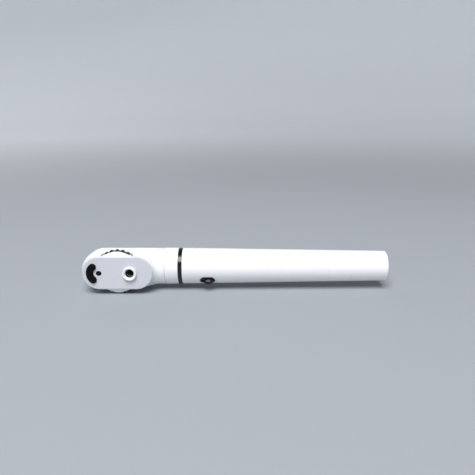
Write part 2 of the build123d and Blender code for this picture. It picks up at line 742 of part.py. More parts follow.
with BuildPart() as handle_sleeve:
    with BuildSketch(across(RING_X + 0.2)):
        Circle(SLEEVE_R)
        Circle(INSERT_R + SCREW_FIT, mode=Mode.SUBTRACT)
    extrude(amount=SLEEVE_DEPTH - 0.2)
save(handle_sleeve, "handle_sleeve")

with BuildPart() as switch_bezel:
    with BuildSketch(switch_plane(SWITCH_FLOOR_R)):
        with Locations((SWITCH_X, 0)):
            SlotOverall(SWITCH_LENGTH - 0.04, SWITCH_WIDTH - 0.04)
    extrude(amount=4)
    with BuildSketch(across(RING_X)):
        Circle(BEZEL_TOP_R)
    extrude(amount=4 * SWITCH_LENGTH, mode=Mode.INTERSECT)
    with BuildSketch(switch_plane(9.0)):
        with Locations((SWITCH_X, 0)):
            SlotOverall(SWITCH_LENGTH - 2.6, SLOT_WIDTH)
    extrude(amount=4, mode=Mode.SUBTRACT)
save(switch_bezel, "switch_bezel")

with BuildPart() as switch_slider:
    with BuildSketch(switch_plane(BEZEL_TOP_R + 0.1)):
        with Locations((KNOB_X, 0)):
            SlotOverall(KNOB_LENGTH, KNOB_WIDTH)
    extrude(amount=KNOB_TOP_R - BEZEL_TOP_R - 0.1)
    fillet(switch_slider.faces().filter_by(switch_plane(0)).sort_by(SortBy.DISTANCE)[-1].edges(), 0.7)
    with BuildSketch(switch_plane(9.0)):
        with Locations((KNOB_X + 0.2, 0)):
            Rectangle(2.4, 1.8)
    extrude(amount=BEZEL_TOP_R + 0.3 - 9.0)
save(switch_slider, "switch_slider")

with BuildPart() as slider_contact:
    with BuildSketch(switch_plane(8.6)):
        with Locations((KNOB_X + 0.2, 0)):
            Rectangle(3.4, 2.4)
    extrude(amount=0.4)
    with BuildSketch(switch_plane(8.3)):
        with Locations((KNOB_X + 0.2, 0)):
            Circle(0.8)
    extrude(amount=0.4)
save(slider_contact, "slider_contact")

with BuildPart() as contact_strip:
    with BuildSketch(switch_plane(7.85)):
        with Locations((RING_X + SLEEVE_DEPTH + 1.1, 0)):
            Rectangle(3.4, 2.4)
    extrude(amount=0.3)
save(contact_strip, "contact_strip")

# ---------------------------------------------------------------- battery stack


def cell(tail_x):
    """One AA cell with its negative end at tail_x and its nub towards the head."""
    with BuildPart() as can:
        with BuildSketch(across(tail_x - CELL_LENGTH + NUB_LENGTH)):
            Circle(CELL_R)
        extrude(amount=CELL_LENGTH - NUB_LENGTH)
        fillet(can.edges().filter_by(GeomType.CIRCLE), 0.5)
        with BuildSketch(across(tail_x - CELL_LENGTH)):
            Circle(NUB_R)
        extrude(amount=NUB_LENGTH)
    return can


battery_lower = cell(CELL_END_X)
save(battery_lower, "battery_lower")

battery_upper = cell(CELL_END_X - CELL_LENGTH)
save(battery_upper, "battery_upper")

with BuildPart() as end_contact:
    with BuildSketch(across(-END_WALL - 0.5)):
        Circle(HANDLE_BORE_R)
    extrude(amount=0.5)
save(end_contact, "end_contact")

with BuildPart() as battery_spring:
    with BuildLine() as coil:
        Helix(pitch=2.0, height=6.0, radius=5.4, center=(0, 0, 0), direction=(0, 0, 1))
    with BuildSketch(Plane(origin=coil.line @ 0, z_dir=coil.line % 0)):
        Circle(SPRING_WIRE_R)
    sweep(is_frenet=True)
battery_spring.part = Plane(origin=(CELL_END_X + 0.5, 0, 0), z_dir=(1, 0, 0)).from_local_coords(
    battery_spring.part
)
save(battery_spring, "battery_spring")
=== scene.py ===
"""Pocket ophthalmoscope: casings, face plate, lens wheel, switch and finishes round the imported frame."""

import json
import math

import bmesh
import bpy
import numpy as np
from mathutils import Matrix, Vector


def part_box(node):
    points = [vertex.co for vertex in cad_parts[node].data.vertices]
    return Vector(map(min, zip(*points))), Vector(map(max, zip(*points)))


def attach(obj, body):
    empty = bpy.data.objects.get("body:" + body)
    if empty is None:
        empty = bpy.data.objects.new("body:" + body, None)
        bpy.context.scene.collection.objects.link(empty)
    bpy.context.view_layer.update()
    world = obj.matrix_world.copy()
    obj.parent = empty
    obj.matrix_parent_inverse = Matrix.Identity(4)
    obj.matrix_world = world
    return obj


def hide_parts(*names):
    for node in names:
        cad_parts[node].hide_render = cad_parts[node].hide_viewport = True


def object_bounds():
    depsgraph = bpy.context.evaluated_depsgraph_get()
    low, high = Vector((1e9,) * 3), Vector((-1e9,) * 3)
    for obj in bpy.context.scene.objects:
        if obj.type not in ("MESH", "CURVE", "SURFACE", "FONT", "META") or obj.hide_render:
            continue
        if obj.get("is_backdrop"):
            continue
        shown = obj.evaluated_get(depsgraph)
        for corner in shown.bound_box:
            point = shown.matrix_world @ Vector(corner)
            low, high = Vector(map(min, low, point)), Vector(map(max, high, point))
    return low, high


bl_info = {
    "name": "Pocket Ophthalmoscope",
    "version": (1, 0, 0),
    "blender": (4, 5, 0),
    "location": "3D View > Sidebar > Ophthalmoscope",
    "description": "Builds the visible pieces and finishes of a pocket ophthalmoscope",
    "category": "Object",
}

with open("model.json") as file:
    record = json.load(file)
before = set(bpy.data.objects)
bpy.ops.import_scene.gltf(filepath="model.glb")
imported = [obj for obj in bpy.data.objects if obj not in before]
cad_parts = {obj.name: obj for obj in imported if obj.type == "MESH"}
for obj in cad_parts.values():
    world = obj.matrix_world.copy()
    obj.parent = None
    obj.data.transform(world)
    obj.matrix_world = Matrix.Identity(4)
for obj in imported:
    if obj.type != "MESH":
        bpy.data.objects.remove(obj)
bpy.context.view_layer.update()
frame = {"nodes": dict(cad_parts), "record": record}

MM = 0.001
SLOT_OF = {part["node"]: part["material_slot"] for part in frame["record"]["subparts"]}


# ------------------------------------------------------------------ places read from the frame


def low(node):
    """A node's lowest corner in millimetres."""
    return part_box(node)[0] / MM


def high(node):
    """A node's highest corner in millimetres."""
    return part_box(node)[1] / MM


def middle(node):
    """The middle of a node's box in millimetres."""
    return (low(node) + high(node)) / 2


RING_X = low("trim_ring").x
RING_END_X = high("trim_ring").x
RING_R = high("trim_ring").z
COLLAR_X = low("neck_collar").x
HEAD_R = high("rear_housing").z
SPLIT_Y = -high("front_housing").y
SEAT_Y = -high("face_plate").y
FACE_Y = -low("face_plate").y
PLATE_R = high("face_plate").z
NEAR_CENTRE_X = high("face_plate").x - PLATE_R
FAR_CENTRE_X = low("face_plate").x + PLATE_R
CAVITY_END_X = high("projection_holder").x + 1.6
SIGHT_X = middle("eyepiece_ring").x
WINDOW = middle("display_window")
WHEEL = middle("lens_wheel")
WHEEL_R = high("lens_wheel").z
WHEEL_FRONT_Y = -low("lens_wheel").y
WHEEL_BACK_Y = -high("lens_wheel").y
TIP_X = FAR_CENTRE_X - HEAD_R
BACK_SLOPE_X = high("face_plate").x - 17.0


class OphthalmoscopeSizes(bpy.types.PropertyGroup):
    """Sizes of the visible shapes, in millimetres."""

    wall: bpy.props.FloatProperty(name="Wall", description="Thickness of the head's casing", default=1.6)
    draft: bpy.props.FloatProperty(
        name="Draft",
        description="How far the head's sides lean in towards the plate",
        default=math.radians(4.0),
        subtype="ANGLE",
    )
    fairing: bpy.props.FloatProperty(
        name="Fairing", description="Slope of the step from the plate down to the neck", default=0.4
    )
    blend: bpy.props.FloatProperty(
        name="Blend", description="How softly the head's surfaces run into each other", default=1.6
    )
    back_tip: bpy.props.FloatProperty(
        name="Back at the tip", description="Where the sloping back meets the far end", default=1.4
    )
    seam: bpy.props.FloatProperty(
        name="Seam", description="Width of the joints between casings", default=0.12
    )
    guard: bpy.props.FloatProperty(
        name="Wheel guard", description="Radius of the guard in front of the lens wheel", default=12.42
    )
    plate_rim: bpy.props.FloatProperty(
        name="Plate rim", description="Width of the rounded rim of the face plate", default=0.7
    )
    handle_tip: bpy.props.FloatProperty(
        name="Handle tip", description="Radius of the handle at its end", default=8.95
    )
    lobes: bpy.props.IntProperty(name="Lobes", description="Lobes round the lens wheel", default=24)
    lobe_depth: bpy.props.FloatProperty(
        name="Lobe depth", description="Depth of the hollows between lobes", default=0.9
    )
    switch_angle: bpy.props.FloatProperty(
        name="Switch angle",
        description="How far round the handle the switch sits from the plate's direction",
        default=math.radians(38.0),
        subtype="ANGLE",
    )


class OphthalmoscopeColours(bpy.types.PropertyGroup):
    """Colours of the finishes."""

    casing: bpy.props.FloatVectorProperty(
        name="Casing", description="White moulded casing", default=(0.86, 0.865, 0.875), subtype="COLOR"
    )
    plate: bpy.props.FloatVectorProperty(
        name="Face plate", description="White face plate", default=(0.60, 0.615, 0.66), subtype="COLOR"
    )
    rubber: bpy.props.FloatVectorProperty(
        name="Rubber", description="Soft black brow rest", default=(0.003, 0.003, 0.0035), subtype="COLOR"
    )
    black: bpy.props.FloatVectorProperty(
        name="Gloss black", description="Trim ring and switch", default=(0.006, 0.006, 0.007), subtype="COLOR"
    )
    wheel: bpy.props.FloatVectorProperty(
        name="Wheel", description="Black wheel plastic", default=(0.014, 0.014, 0.016), subtype="COLOR"
    )
    brass: bpy.props.FloatVectorProperty(
        name="Brass", description="Turned brass", default=(0.72, 0.52, 0.22), subtype="COLOR"
    )
    steel: bpy.props.FloatVectorProperty(
        name="Steel", description="Bright steel", default=(0.55, 0.55, 0.56), subtype="COLOR"
    )
    jacket: bpy.props.FloatVectorProperty(
        name="Cell jacket",
        description="Plain jacket of the cells",
        default=(0.03, 0.035, 0.045),
        subtype="COLOR",
    )
    floor: bpy.props.FloatVectorProperty(
        name="Floor", description="Pale floor", default=(0.34, 0.36, 0.39), subtype="COLOR"
    )


# ------------------------------------------------------------------ shader maths


class Value:
    """A shader socket that takes part in arithmetic: each operator adds a Math node."""

    def __init__(self, tree, socket):
        self.tree = tree
        self.socket = socket

    def math(self, operation, *inputs):
        return self.tree.node("ShaderNodeMath", {"operation": operation}, inputs)

    def __add__(self, other):
        return self.math("ADD", self, other)

    __radd__ = __add__

    def __sub__(self, other):
        return self.math("SUBTRACT", self, other)

    def __rsub__(self, other):
        return self.math("SUBTRACT", other, self)

    def __mul__(self, other):
        return self.math("MULTIPLY", self, other)

    __rmul__ = __mul__

    def __truediv__(self, other):
        return self.math("DIVIDE", self, other)

    def __pow__(self, other):
        return self.math("POWER", self, other)

    def sine(self):
        return self.math("SINE", self)

    def size(self):
        return self.math("ABSOLUTE", self)


class Finish:
    """A material and the nodes that it is made of."""

    def __init__(self, name):
        self.material = bpy.data.materials.new(name)
        self.material.use_nodes = True
        self.tree = self.material.node_tree
        self.tree.nodes.clear()
        self.place = self.node("ShaderNodeTexCoord", output="Object")

    def node(self, kind, settings=None, inputs=(), output=0):
        """Adds one node with its settings and its inputs, by name or by number, and returns an output."""
        made = self.tree.nodes.new(kind)
        for name, value in (settings or {}).items():
            setattr(made, name, value)
        pairs = inputs.items() if isinstance(inputs, dict) else enumerate(inputs)
        for name, value in pairs:
            if isinstance(value, Value):
                self.tree.links.new(value.socket, made.inputs[name])
            else:
                made.inputs[name].default_value = value
        return Value(self, made.outputs[output]) if made.outputs else made

    def noise(self, feature, detail=3.0, stretch=(1, 1, 1)):
        """Noise from 0 to 1 with features of a size in millimetres, longer where stretch is more."""
        scaled = self.node(
            "ShaderNodeVectorMath",
            {"operation": "DIVIDE"},
            [self.place, tuple(feature * MM * part for part in stretch)],
        )
        return self.node("ShaderNodeTexNoise", inputs={"Vector": scaled, "Scale": 1.0, "Detail": detail})

    def cells(self, feature):
        """Distance to the nearest of scattered points, which are about a size in millimetres apart."""
        return self.node(
            "ShaderNodeTexVoronoi",
            inputs={"Vector": self.place, "Scale": 1 / (feature * MM)},
            output="Distance",
        )

    def axis(self, name):
        """One coordinate of the surface point in millimetres."""
        parts = self.node("ShaderNodeSeparateXYZ", inputs=[self.place], output=name)
        return parts / MM

    def step(self, value, start, end):
        """0 below start, 1 above end, and a smooth rise between."""
        return self.node(
            "ShaderNodeMapRange",
            {"interpolation_type": "SMOOTHSTEP"},
            {"Value": value, "From Min": start, "From Max": end, "To Min": 0.0, "To Max": 1.0},
        )

    def mix(self, factor, first, second):
        """A colour between two colours."""
        pair = [c if isinstance(c, Value) else (*c[:3], 1.0) for c in (first, second)]
        return self.node(
            "ShaderNodeMix", {"data_type": "RGBA"}, {0: factor, 6: pair[0], 7: pair[1]}, output=2
        )

    def relief(self, height, depth):
        """A normal from a height of 0 to 1 that stands for a depth in millimetres."""
        return self.node(
            "ShaderNodeBump", inputs={"Strength": 1.0, "Distance": depth * MM, "Height": height}
        )

    def surface(self, **inputs):
        """Ends the material with a Principled surface. Underscores stand for the spaces in socket names."""
        named = {name.replace("_", " "): value for name, value in inputs.items()}
        shader = self.node("ShaderNodeBsdfPrincipled", inputs=named)
        self.node("ShaderNodeOutputMaterial", inputs={"Surface": shader})
        return self.material


def shade(colour, factor):
    """A colour made darker or lighter."""
    return tuple(min(1.0, part * factor) for part in colour[:3])


def moulded_white(name, colour, gloss):
    """White moulded plastic: a fine satin grain, faint flow marks and a few handling smudges."""
    finish = Finish(name)
    flow = finish.noise(26.0, 2.0, (2.5, 1, 1))
    grain = finish.noise(0.22, 2.0)
    smudge = finish.step(finish.noise(7.0, 4.0), 0.56, 0.8)
    speck = 1 - finish.step(finish.cells(9.0), 0.015, 0.03)
    tone = finish.mix(flow * 0.6, colour, shade(colour, 0.965))
    return finish.surface(
        Base_Color=finish.mix(speck * 0.25, tone, shade(colour, 0.72)),
        Roughness=gloss + (grain - 0.5) * 0.06 + smudge * 0.07,
        Normal=finish.relief(grain + flow * 0.2, 0.003),
        IOR=1.49,
        Coat_Weight=0.12,
        Coat_Roughness=0.12,
    )


def brow_rubber(name, colour):
    """Soft black rubber with a dull, slightly dusty grain."""
    finish = Finish(name)
    grain = finish.noise(0.18, 4.0)
    pores = finish.cells(0.35)
    dust = finish.step(finish.noise(3.0, 5.0), 0.55, 0.8)
    return finish.surface(
        Base_Color=finish.mix(dust * 0.3, colour, (0.014, 0.014, 0.015)),
        Roughness=0.45 + dust * 0.15 + (grain - 0.5) * 0.12,
        Normal=finish.relief(grain * 0.7 + pores * 0.5, 0.02),
        Specular_IOR_Level=0.12,
    )


def polished_black(name, colour):
    """Polished black plastic with hairline scratches and a little dust."""
    finish = Finish(name)
    hairlines = finish.step(finish.noise(0.09, 1.0, (22, 1, 1)), 0.62, 0.70)
    dust = finish.step(finish.noise(1.4, 6.0), 0.66, 0.8)
    return finish.surface(
        Base_Color=finish.mix(dust * 0.3, colour, (0.05, 0.05, 0.052)),
        Roughness=0.2 + hairlines * 0.10 + dust * 0.2,
        Normal=finish.relief(finish.noise(1.8, 2.0) - hairlines * 0.3, 0.004),
        Specular_IOR_Level=0.4,
        Coat_Weight=0.06,
        Coat_Roughness=0.12,
    )


def wheel_plastic(name, colour):
    """Black plastic whose outermost edges are smoother, with a painted highlight: the lobe tops are paler in
    colour, broken up by noise.
    """
    finish = Finish(name)
    across = finish.axis("X") - WHEEL.x
    up = finish.axis("Z")
    reach = (across * across + up * up) ** 0.5
    # painted highlight: mask of the lobe tops, where the rim catches the light
    glint_on_lobe_tops = finish.step(reach, WHEEL_R - 0.9, WHEEL_R - 0.1) * finish.step(finish.noise(1.1, 4.0), 0.3, 0.6)
    grain = finish.noise(0.16, 3.0)
    return finish.surface(
        # painted highlight: the lobe tops mixed towards a paler grey
        Base_Color=finish.mix(glint_on_lobe_tops * 0.8, colour, (0.075, 0.076, 0.08)),
        Roughness=0.44 - glint_on_lobe_tops * 0.2 + (grain - 0.5) * 0.1,
        Normal=finish.relief(grain, 0.012),
        IOR=1.5,
    )


def dull_black(name, colour):
    """Black plastic inside the head, sprayed dull so that it doesn't scatter light."""
    finish = Finish(name)
    grain = finish.noise(0.12, 4.0)
    return finish.surface(
        Base_Color=finish.mix(grain, shade(colour, 0.7), shade(colour, 1.5)),
        Roughness=0.72 + (grain - 0.5) * 0.2,
        Normal=finish.relief(grain, 0.02),
        IOR=1.48,
    )


def machined(name, colour, roughness, stretch):
    """Turned or drawn metal: fine tool marks along stretch and a faint tarnish."""
    finish = Finish(name)
    marks = finish.noise(0.07, 2.0, stretch)
    tarnish = finish.noise(2.6, 4.0)
    return finish.surface(
        Base_Color=finish.mix(finish.step(tarnish, 0.45, 0.75) * 0.5, colour, shade(colour, 0.62)),
        Metallic=1.0,
        Roughness=roughness + (marks - 0.5) * 0.16 + tarnish * 0.08,
        Normal=finish.relief(marks, 0.006),
    )


def clear_glass(name, colour):
    """Glass or clear plastic with a trace of wipe marks."""
    finish = Finish(name)
    wipes = finish.step(finish.noise(1.2, 3.0, (4, 1, 1)), 0.5, 0.8)
    return finish.surface(
        Base_Color=finish.mix(wipes * 0.08, colour, shade(colour, 0.9)),
        Roughness=0.02 + wipes * 0.05,
        Normal=finish.relief(finish.noise(3.0, 1.0), 0.002),
        IOR=1.5,
        Transmission_Weight=1.0,
        Coat_Weight=0.3,
        Coat_Roughness=0.02,
    )


def smoked_window(name):
    """A dark smoked window with faint wipe marks."""
    finish = Finish(name)
    wipes = finish.step(finish.noise(0.5, 3.0, (3, 1, 1)), 0.5, 0.8)
    return finish.surface(
        Base_Color=finish.mix(wipes * 0.3, (0.002, 0.002, 0.0025), (0.01, 0.01, 0.011)),
        Roughness=0.12 + wipes * 0.1,
        Normal=finish.relief(finish.noise(1.5, 1.0), 0.002),
        Specular_IOR_Level=0.25,
    )


def silvered(name):
    """A front-silvered mirror with a few dust specks."""
    finish = Finish(name)
    speck = 1 - finish.step(finish.cells(0.8), 0.04, 0.08)
    return finish.surface(
        Base_Color=finish.mix(speck * 0.3, (0.92, 0.93, 0.94), (0.4, 0.4, 0.4)),
        Metallic=1.0,
        Roughness=0.03 + speck * 0.3,
        Normal=finish.relief(speck, 0.002),
    )


def dial_print(name):
    """The dark ring behind the window, with a pale plain tick for each lens."""
    finish = Finish(name)
    turn = finish.node(
        "ShaderNodeMath",
        {"operation": "ARCTAN2"},
        [finish.axis("Z"), finish.axis("X") - WHEEL.x],
    )
    sweep = (turn * 6.0).sine().size()
    tick = 1 - finish.step(sweep, 0.10, 0.16)
    ink = finish.noise(0.1, 3.0)
    return finish.surface(
        Base_Color=finish.mix(tick * (0.6 + ink * 0.4), (0.02, 0.02, 0.022), (0.75, 0.75, 0.72)),
        Roughness=0.5 + (ink - 0.5) * 0.15,
        Normal=finish.relief(tick, 0.01),
    )


def cell_jacket(name, colour):
    """The cells' plain shrink jacket, with bare metal at each end."""
    finish = Finish(name)
    first = finish.axis("X") - low("battery_upper").x
    span = high("battery_upper").x - low("battery_upper").x
    along = finish.node("ShaderNodeMath", {"operation": "FLOORED_MODULO"}, [first, span])
    jacket = finish.step(along, 1.5, 1.8) * (1 - finish.step(along, span - 0.8, span - 0.5))
    band = finish.step(along, 2.2, 2.4) * (1 - finish.step(along, 13.8, 14.0))
    print_colour = finish.mix(band, colour, (0.42, 0.16, 0.05))
    gloss = finish.noise(2.0, 3.0)
    return finish.surface(
        Base_Color=finish.mix(jacket, (0.62, 0.61, 0.58), print_colour),
        Metallic=1 - jacket,
        Roughness=0.22 + gloss * 0.12,
        Normal=finish.relief(finish.noise(1.0, 2.0), 0.01),
    )


def floor_finish(name, colour):
    """A pale matt floor with a very fine texture, with painted light: paler where it sweeps up far from the
    part, where the lamps light it less.
    """
    finish = Finish(name)
    grain = finish.noise(0.9, 3.0)
    along = finish.axis("X")
    across = finish.axis("Y")
    # painted light: the floor colour turns paler far from the part, where the lamps light it less
    far = finish.step((along * along + across * across) ** 0.5, 350.0, 1700.0)
    tone = finish.mix(far, colour, (0.80, 0.83, 0.87))
    return finish.surface(
        Base_Color=finish.mix(grain * 0.15, tone, shade(colour, 0.9)),
        Roughness=0.85 + (grain - 0.5) * 0.1,
        Normal=finish.relief(grain, 0.02),
    )


def finish_for(slot_name):
    """The material of a slot, made the first time that it is asked for."""
    if slot_name in bpy.data.materials and bpy.data.materials[slot_name].get("ready"):
        return bpy.data.materials[slot_name]
    if slot_name in bpy.data.materials:
        bpy.data.materials[slot_name].name = slot_name + "_plain"
    colours = bpy.context.scene.ophthalmoscope_colours
    makers = {
        "white_casing": lambda: moulded_white(slot_name, colours.casing, 0.27),
        "plate_white": lambda: moulded_white(slot_name, colours.plate, 0.38),
        "brow_rubber": lambda: brow_rubber(slot_name, colours.rubber),
        "gloss_black": lambda: polished_black(slot_name, colours.black),
        "wheel_black": lambda: wheel_plastic(slot_name, colours.wheel),
        "inner_black": lambda: dull_black(slot_name, colours.wheel),
        "dial_face": lambda: dial_print(slot_name),
        "window_smoke": lambda: smoked_window(slot_name),
        "optical_glass": lambda: clear_glass(slot_name, (0.95, 0.98, 0.98)),
        "bulb_glass": lambda: clear_glass(slot_name, (0.98, 0.97, 0.94)),
        "filter_green": lambda: clear_glass(slot_name, (0.08, 0.55, 0.22)),
        "mirror_silver": lambda: silvered(slot_name),
        "brass": lambda: machined(slot_name, colours.brass, 0.26, (1, 9, 9)),
        "nickel": lambda: machined(slot_name, (0.68, 0.66, 0.60), 0.2, (1, 6, 6)),
        "steel": lambda: machined(slot_name, colours.steel, 0.24, (6, 1, 6)),
        "cell_jacket": lambda: cell_jacket(slot_name, colours.jacket),
    }
    material = makers[slot_name]()
    material["ready"] = True
    return material


# ------------------------------------------------------------------ shapes


def rounded(points, radius, steps=5):
    """A run of 2-D points with its inner corners rounded, each by at most a radius."""
    run = [points[0]]
    corners = [Vector(point) for point in points]
    for before, corner, after in zip(corners, corners[1:], corners[2:]):
        reach = min(radius, (before - corner).length * 0.48, (after - corner).length * 0.48)
        start = corner + (before - corner).normalized() * reach
        end = corner + (after - corner).normalized() * reach
        for step in range(steps + 1):
            t = step / steps
            run.append(tuple(start * (1 - t) ** 2 + corner * 2 * t * (1 - t) + end * t**2))
    return run + [points[-1]]


def solid(name, rings, loop=False):
    """A closed solid through rings of points in millimetres. A ring of one point closes an end."""
    mesh = bmesh.new()
    rows = [[mesh.verts.new(Vector(point) * MM) for point in ring] for ring in rings]
    pairs = list(zip(rows, rows[1:] + rows[:1])) if loop else list(zip(rows, rows[1:]))
    for first, second in pairs:
        count = max(len(first), len(second))
        for index in range(count):
            following = (index + 1) % count
            corners = [first[index % len(first)], first[following % len(first)]]
            corners += [second[following % len(second)], second[index % len(second)]]
            mesh.faces.new(list(dict.fromkeys(corners)))
    if not loop:
        for row in (rows[0], rows[-1]):
            if len(row) > 1:
                mesh.faces.new(row)
    bmesh.ops.recalc_face_normals(mesh, faces=mesh.faces)
    data = bpy.data.meshes.new(name)
    mesh.to_mesh(data)
    mesh.free()
    made = bpy.data.objects.new(name, data)
    bpy.context.collection.objects.link(made)
    return made


def lathe(name, profile, place, loop=False, count=144):
    """Turns a profile of (radius, height) points. place(radius, angle, height) gives a point in space."""
    rings = []
    for radius, height in profile:
        turns = [2 * math.pi * step / count for step in range(count)] if radius > 1e-6 else [0.0]
        rings.append([place(radius, turn, height) for turn in turns])
    return solid(name, rings, loop)


def cylinder(radius, start, end):
    """The profile of a plain cylinder between two heights."""
    return [(0, start), (radius, start), (radius, end), (0, end)]


def round_x(centre_y=0.0):
    """Places points round an axis parallel to the handle's."""

    def place(radius, turn, x):
        return (x, centre_y + radius * math.cos(turn), radius * math.sin(turn))

    return place


def round_y(centre_x, centre_z=0.0):
    """Places points round an axis parallel to the sight line, height in front of the handle's axis."""

    def place(radius, turn, height):
        return (centre_x + radius * math.cos(turn), -height, centre_z + radius * math.sin(turn))

    return place


def stadium(far_x, near_x, radius, count=144):
    """The outline of a slot between two centres, as (x, z) points."""
    outline = []
    for step in range(count):
        turn = 2 * math.pi * (step + 0.5) / count
        centre = near_x if math.cos(turn) > 0 else far_x
        outline.append((centre + radius * math.cos(turn), radius * math.sin(turn)))
    return outline


def bean(centre_x, radius, half_angle, half_band, count=30):
    """The outline of a band bent round a centre on its +X side, with round ends, as (x, z) points."""
    outline = []
    half_count = count // 2
    for side in (1, -1):
        for step in range(count + 1):
            turn = math.pi - side * half_angle + side * 2 * half_angle * step / count
            outline.append(polar(centre_x, radius + side * half_band, turn))
        end = math.pi + side * half_angle
        lobe_x, lobe_z = polar(centre_x, radius, end)
        start = end if side > 0 else end + math.pi
        for step in range(1, half_count):
            turn = start + math.pi * step / half_count
            outline.append((lobe_x + half_band * math.cos(turn), lobe_z + half_band * math.sin(turn)))
    return outline


def polar(centre_x, radius, turn):
    """A point round a centre on the x axis."""
    return (centre_x + radius * math.cos(turn), radius * math.sin(turn))


def carve(target, tools, operation="DIFFERENCE"):
    """Cuts the tools out of a solid, or keeps only what they cover."""
    for tool in tools:
        modifier = target.modifiers.new("carve", "BOOLEAN")
        modifier.object = tool
        modifier.operation = operation
        modifier.solver = "EXACT"
    graph = bpy.context.evaluated_depsgraph_get()
    data = bpy.data.meshes.new_from_object(target.evaluated_get(graph))
    target.modifiers.clear()
    target.data = data
    for tool in tools:
        bpy.data.objects.remove(tool)
    return target


def copy_of(source, name):
    """A second object with its own copy of a solid's mesh."""
    made = bpy.data.objects.new(name, source.data.copy())
    bpy.context.collection.objects.link(made)
    return made


def block(name, first, second):
    """A box between two corners in millimetres."""
    rings = []
    for z in (first[2], second[2]):
        rings.append(
            [
                (first[0], first[1], z),
                (second[0], first[1], z),
                (second[0], second[1], z),
                (first[0], second[1], z),
            ]
        )
    return solid(name, rings)


def smooth(piece, angle=32.0):
    """Smooth shading, with edges left sharp where the surface turns by more than an angle in degrees."""
    piece.data.shade_smooth()
    piece.data.set_sharp_from_angle(angle=math.radians(angle))


def settle(piece, body, *nodes, angle=32.0):
    """Finishes a piece: its material, its shading, the body it rides on and the nodes it stands for."""
    slot_name = SLOT_OF[nodes[0]]
    piece.data.materials.clear()
    piece.data.materials.append(finish_for(slot_name))
    smooth(piece, angle)
    flow = piece.modifiers.new("even shading", "WEIGHTED_NORMAL")
    flow.keep_sharp = True
    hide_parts(*nodes)
    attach(piece, body)
    return piece


# ------------------------------------------------------------------ the head's form

OVAL_BACK_Y = 1.0
OVAL_BACK_BLEND = 0.3
NECK_BLEND_LEAST = 0.2
NECK_BLEND_MORE = 2.0
NECK_BLEND_FROM = 2.0
NECK_BLEND_OVER = 4.0
GUARD_FRONT_GAP = 0.5
GUARD_FRONT_SLOPE = 3.2
GUARD_BACK_GAP = 0.3
GUARD_BACK_SLOPE = 0.9
CUT_BLEND = 0.5
BACK_BLEND = 3.0
INSIDE_LINE_Y = -4.0
FARTHEST_REACH = 30.0
HALVINGS = 32


def soft_min(a, b, width):
    """The smaller of two distances, blended where they are within a width of each other."""
    near = np.maximum(width - np.abs(a - b), 0) / width
    return np.minimum(a, b) - near * near * width / 4


def soft_max(a, b, width):
    """The larger of two distances, blended where they are within a width of each other."""
    return -soft_min(-a, -b, width)


def head_distance(x, y, z, inset, sizes):
    """Below 0 inside the head's casing moved inwards by inset, and above 0 outside it."""
    radius = HEAD_R - inset
    front = SEAT_Y - inset
    lean = np.maximum(-y, 0) * math.tan(sizes.draft)
    beyond_far = np.minimum(x - FAR_CENTRE_X, 0)
    beyond_near = np.maximum(x - NEAR_CENTRE_X, 0)
    plan = np.hypot(beyond_far, z)
    sides = plan - (radius - lean)
    slope_r = radius - front * math.tan(sizes.draft) + (front + y) * sizes.fairing
    slope = (np.hypot(beyond_near, z) - slope_r) / math.hypot(1, sizes.fairing)
    oval = soft_max(soft_max(sides, slope, sizes.blend), y - OVAL_BACK_Y, OVAL_BACK_BLEND)
    neck = soft_max(np.hypot(y, z) - radius, plan - radius, sizes.blend)
    forward = np.clip((-y - NECK_BLEND_FROM) / NECK_BLEND_OVER, 0, 1)
    softness = NECK_BLEND_LEAST + NECK_BLEND_MORE * forward
    form = soft_min(oval, neck, softness)
    if inset == 0:
        in_front = np.maximum(-y - WHEEL_FRONT_Y - GUARD_FRONT_GAP, 0) * GUARD_FRONT_SLOPE
        behind = np.maximum(y + SPLIT_Y - GUARD_BACK_GAP, 0) * GUARD_BACK_SLOPE
        guard = np.hypot(x - WHEEL.x, z) - (sizes.guard - in_front - behind)
        form = soft_min(form, soft_max(guard, y, CUT_BLEND), sizes.blend)
    form = soft_max(form, -y - front, CUT_BLEND)
    normal = Vector((sizes.back_tip - HEAD_R, BACK_SLOPE_X - TIP_X)).normalized()
    back = (x - TIP_X) * normal.x + (y - sizes.back_tip + inset) * normal.y
    return soft_max(form, back, BACK_BLEND)


def head_solid(name, inset, end_x, sizes, stations=110, count=200, bends=48):
    """The head's casing as one closed solid, found by reaching out from a line inside it."""
    turns = np.linspace(0, 2 * np.pi, count, endpoint=False)
    rows = []
    for step in range(stations):
        rows.append((end_x + (FAR_CENTRE_X - end_x) * step / (stations - 1), 0.0))
    for step in range(1, bends):
        rows.append((FAR_CENTRE_X, math.pi / 2 * step / bends))
    rings = []
    for x, bend in rows:
        along = -math.sin(bend) * np.ones(count)
        across = math.cos(bend) * np.sin(turns)
        up = math.cos(bend) * np.cos(turns)
        near = np.zeros(count)
        far = np.full(count, FARTHEST_REACH)
        for _ in range(HALVINGS):
            reach = (near + far) / 2
            point = (x + along * reach, INSIDE_LINE_Y + across * reach, up * reach)
            inside = head_distance(*point, inset, sizes) < 0
            near = np.where(inside, reach, near)
            far = np.where(inside, far, reach)
        rings.append(list(zip(x + along * near, INSIDE_LINE_Y + across * near, up * near)))
    pole = np.mean(rings[-1], axis=0)
    rings.append([tuple(pole)])
    return solid(name, rings)


def post(name, x, z, radius, from_y, to_y, count=64):
    """A round post parallel to the sight line, between two places in front of the axis."""
    return lathe(name, cylinder(radius, from_y, to_y), round_y(x, z), count=count)


SWITCH_HALF_LENGTH = 1.6
SWITCH_R = 2.93


def on_switch(x, across, height, sizes):
    """A point over the switch: along the handle, across it, and out from the handle's axis."""
    sine = math.sin(sizes.switch_angle)
    cosine = math.cos(sizes.switch_angle)
    return (x, -cosine * height - sine * across, -sine * height + cosine * across)


